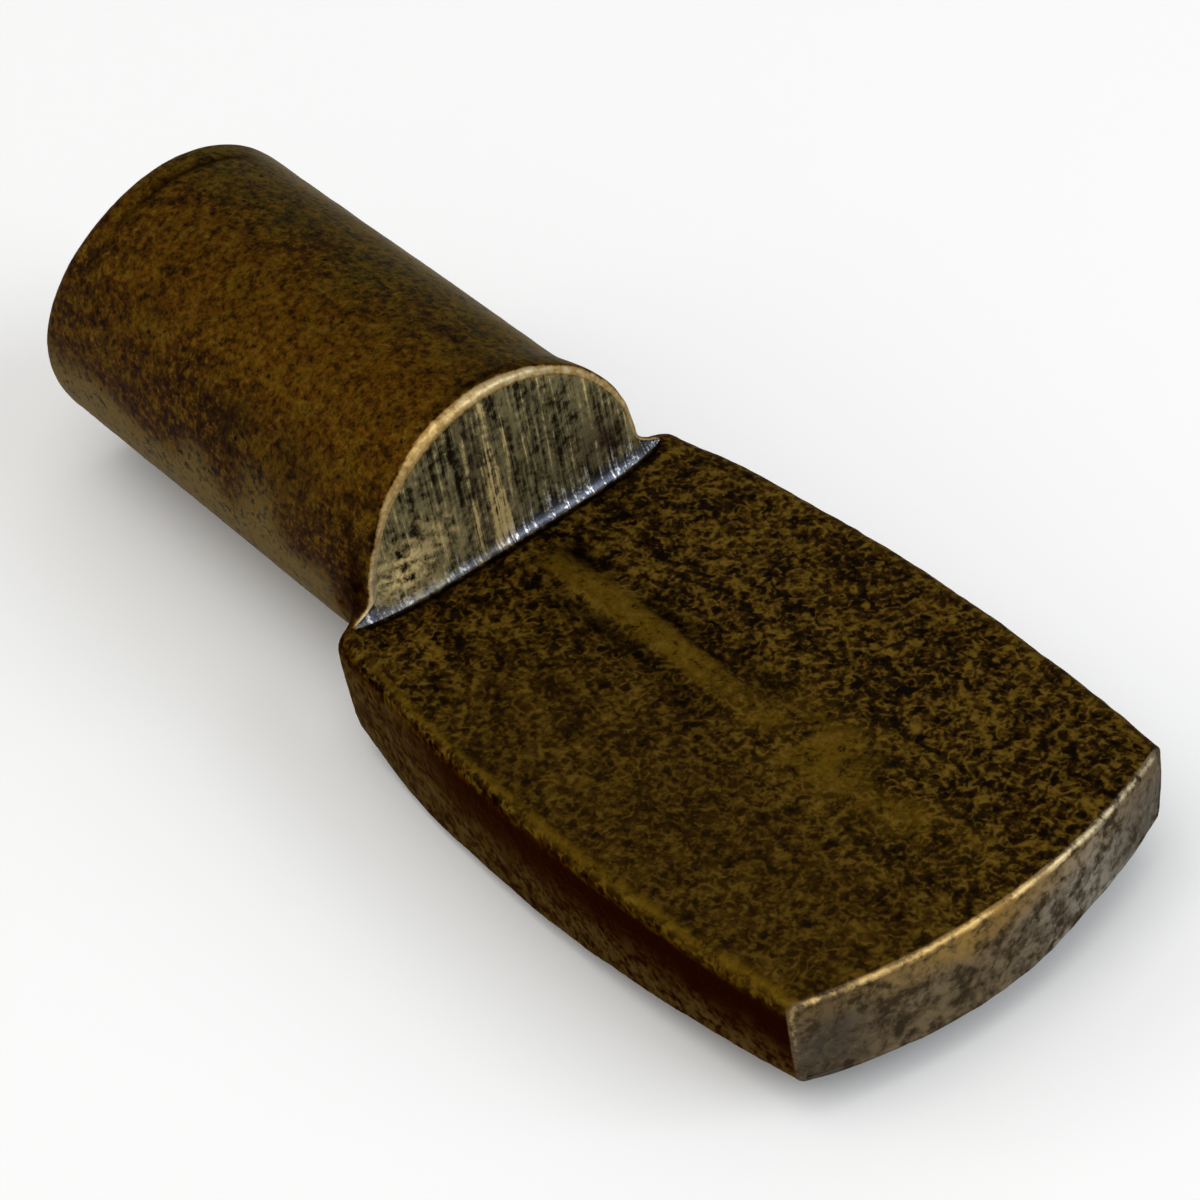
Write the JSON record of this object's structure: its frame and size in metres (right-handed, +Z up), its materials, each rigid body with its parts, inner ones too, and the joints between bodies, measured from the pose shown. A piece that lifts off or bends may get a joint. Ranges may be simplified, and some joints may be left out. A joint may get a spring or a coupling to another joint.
{
  "type": "shelf support pin",
  "caption": "One-piece shelf support pin: a round pin that plugs into a cabinet side, stepped down to a flat bow-sided paddle that carries the shelf.",
  "frame": {"origin": "on the pin's axis, in the plane of the step that the shelf's end faces", "axes": "+X along the pin towards the paddle's tip, +Z up out of the seat that carries the shelf"},
  "size_m": [0.0236, 0.009, 0.0062],
  "materials": {
    "antique_brass": "darkened antique brass, mottled, worn bright along its edges"
  },
  "bodies": {
    "root": {"shelf_pin": "antique_brass"}
  },
  "joints": []
}
